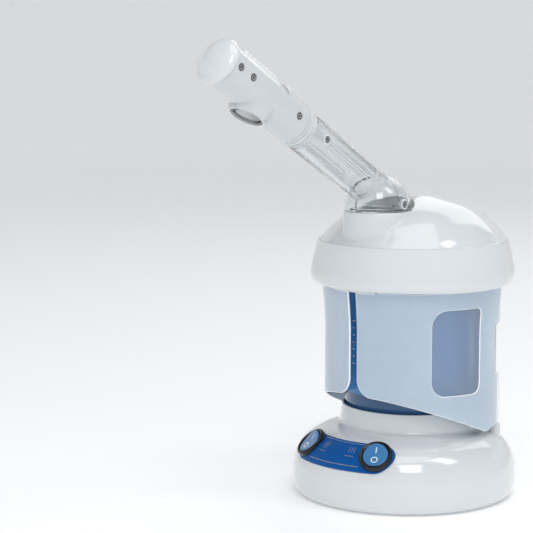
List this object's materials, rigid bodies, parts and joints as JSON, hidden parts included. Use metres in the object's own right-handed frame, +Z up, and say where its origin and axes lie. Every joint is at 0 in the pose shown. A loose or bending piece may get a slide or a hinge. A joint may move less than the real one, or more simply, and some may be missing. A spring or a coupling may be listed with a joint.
{
  "type": "facial steamer",
  "caption": "Table-top facial steamer: round base with rocker switches, clear water tank behind guard doors, domed hood and a telescopic swivel arm with a turning nozzle head.",
  "frame": {"origin": "on the axis of the round base at floor level, 1.8 mm below the flat underside of the bottom cover", "axes": "+Z up; -Y is the front, where the arm and the switches point; +X is the object's right-hand side"},
  "size_m": [0.19, 0.3357, 0.3877],
  "materials": {
    "white_plastic": "glossy cool-white moulded plastic",
    "frosted_plastic": "frosted translucent plastic",
    "tank_plastic": "blue transparent plastic",
    "clear_plastic": "clear plastic",
    "panel_blue": "smooth royal-blue panel",
    "black_plastic": "satin black plastic",
    "rocker_blue": "translucent blue rocker",
    "rubber": "matt dark rubber",
    "silicone": "translucent grey silicone",
    "steel": "bright zinc-plated steel",
    "chrome": "polished chrome plating",
    "aluminium": "cast aluminium",
    "circuit_board": "green laminate",
    "lamp_glass": "clear quartz glass"
  },
  "bodies": {
    "base": {"base_shell": "white_plastic", "bottom_cover": "white_plastic", "foot_1": "rubber", "foot_2": "rubber", "foot_3": "rubber", "foot_4": "rubber", "cover_screw_1": "steel", "cover_screw_2": "steel", "cover_screw_3": "steel", "cover_screw_4": "steel", "control_panel": "panel_blue", "steam_switch_body": "black_plastic", "ozone_switch_body": "black_plastic", "cord_gland": "black_plastic", "control_board": "circuit_board", "ozone_ballast": "black_plastic", "heater_plate": "aluminium", "heating_element": "steel", "thermal_cutout": "steel", "rear_column": "white_plastic", "right_hinge_pin": "steel", "left_hinge_pin": "steel", "dome_floor": "white_plastic", "dome_band": "white_plastic", "dome_cover": "white_plastic", "door_catch": "white_plastic", "tank_gasket": "silicone", "steam_duct": "white_plastic", "lamp_bracket": "steel", "ozone_lamp": "lamp_glass"},
    "steam_rocker": {"steam_rocker": "rocker_blue"},
    "ozone_rocker": {"ozone_rocker": "rocker_blue"},
    "tank": {"water_tank": "tank_plastic", "tank_plate": "steel"},
    "right_door": {"right_guard_door": "frosted_plastic"},
    "left_door": {"left_guard_door": "frosted_plastic"},
    "arm": {"arm_shell_right": "clear_plastic", "arm_shell_left": "clear_plastic", "arm_screw_upper": "steel", "arm_screw_lower": "steel", "swivel_ring": "silicone", "swivel_seal": "rubber"},
    "slide": {"inner_tube": "clear_plastic", "tube_seal": "silicone", "slide_collar": "clear_plastic"},
    "head": {"head_shell_right": "white_plastic", "head_shell_left": "white_plastic", "head_cap": "white_plastic", "head_screw_1": "steel", "head_screw_2": "steel", "head_screw_3": "steel", "nozzle_insert": "chrome"},
    "slider": {"head_slider": "white_plastic"}
  },
  "joints": [
    {"name": "arm_swivel", "type": "hinge", "parent": "base", "child": "arm", "pos_m": [0, -0.0357, 0.244], "axis": [0, 0, 1], "range_deg": [-180, 180]},
    {"name": "arm_telescope", "type": "slide", "parent": "arm", "child": "slide", "axis": [0, -0.848, 0.5299], "range_m": [0, 0.045]},
    {"name": "head_twist", "type": "hinge", "parent": "slide", "child": "head", "pos_m": [0, -0.0357, 0.2572], "axis": [0, -0.848, 0.5299], "range_deg": [-90, 90]},
    {"name": "slider_slide", "type": "slide", "parent": "head", "child": "slider", "axis": [0, 0.848, -0.5299], "range_m": [0, 0.0115]},
    {"name": "right_door_hinge", "type": "hinge", "parent": "base", "child": "right_door", "pos_m": [0.05979, 0.04656, 0.12], "axis": [0, 0, 1], "range_deg": [0, 100]},
    {"name": "left_door_hinge", "type": "hinge", "parent": "base", "child": "left_door", "pos_m": [-0.05979, 0.04656, 0.12], "axis": [0, 0, -1], "range_deg": [0, 100]},
    {"name": "steam_rocker_tilt", "type": "hinge", "parent": "base", "child": "steam_rocker", "pos_m": [0.0363, -0.07575, 0.0472], "axis": [-0.9018, -0.4321, 0], "range_deg": [0, 12]},
    {"name": "ozone_rocker_tilt", "type": "hinge", "parent": "base", "child": "ozone_rocker", "pos_m": [-0.0363, -0.07575, 0.0472], "axis": [-0.9018, 0.4321, 0], "range_deg": [0, 12]},
    {"name": "tank_twist", "type": "hinge", "parent": "base", "child": "tank", "pos_m": [0, 0.0092, 0.0623], "axis": [0, 0, 1], "range_deg": [0, 25]}
  ]
}
